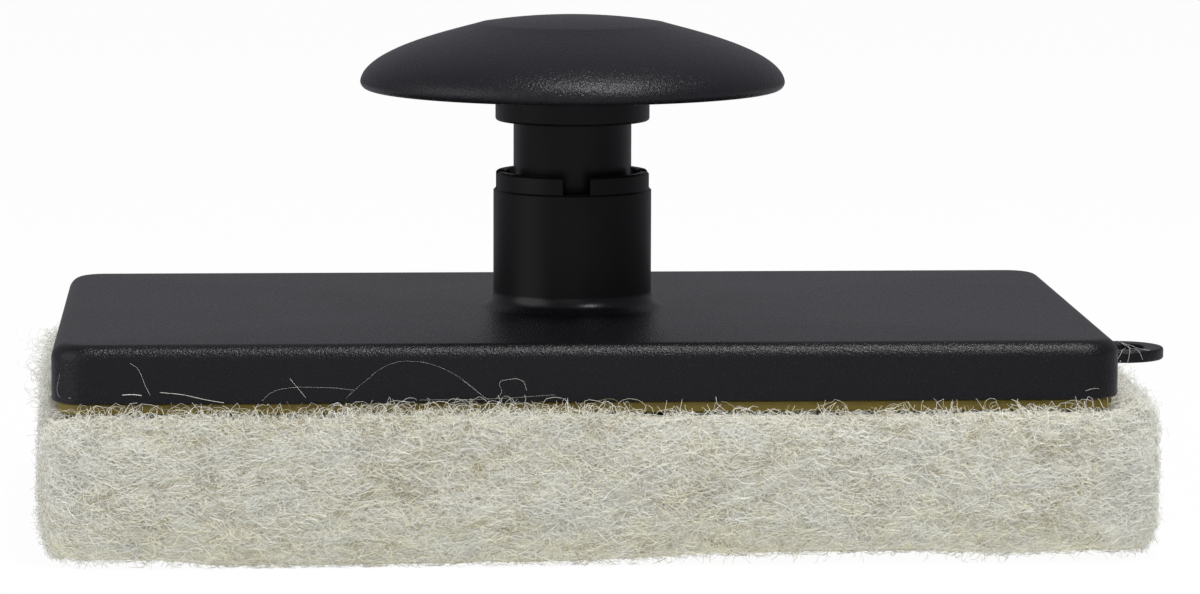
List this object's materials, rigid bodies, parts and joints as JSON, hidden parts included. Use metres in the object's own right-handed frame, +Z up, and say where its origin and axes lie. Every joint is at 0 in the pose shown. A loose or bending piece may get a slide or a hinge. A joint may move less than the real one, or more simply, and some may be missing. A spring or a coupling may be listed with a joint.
{
  "type": "scrub pad holder",
  "caption": "Hand scrubber: a black moulded plate with a palm knob plugged into its socket, a hanging ring at one end, and a thick white fibre pad gripped underneath by a hook sheet.",
  "frame": {"origin": "on the stem's axis, level with the scrubbing face of the pad", "axes": "+X along the plate towards the hanging ring, -Y towards the front of the picture, +Z up through the knob"},
  "size_m": [0.2388, 0.142, 0.1071],
  "materials": {
    "fibre_pad": "lofty non-woven white fibre with grey and tan flecks",
    "hook_sheet": "mustard yellow hook sheet",
    "textured_black": "charcoal black moulded plastic with a fine spark texture",
    "smooth_black": "smooth black moulded plastic",
    "steel": "plain stainless steel"
  },
  "bodies": {
    "pad": {"scrub_pad": "fibre_pad"},
    "holder": {"pad_holder": "textured_black", "hook_sheet": "hook_sheet"},
    "handle": {"knob_shell": "textured_black", "knob_underside": "textured_black", "knob_stem": "smooth_black", "stem_screw": "steel", "screw_washer": "steel", "latch_spring": "steel"},
    "button": {"release_button": "smooth_black"}
  },
  "joints": [
    {"name": "holder_lift", "type": "slide", "parent": "pad", "child": "holder", "axis": [0, 0, 1], "range_m": [0, 0.03]},
    {"name": "handle_slide", "type": "slide", "parent": "holder", "child": "handle", "axis": [0, 0, 1], "range_m": [0, 0.042], "deforming": ["latch_spring"]},
    {"name": "button_press", "type": "slide", "parent": "handle", "child": "button", "axis": [0, -1, 0], "range_m": [0, 0.0028], "stiffness_N_per_m": 900, "deforming": ["latch_spring"]}
  ]
}
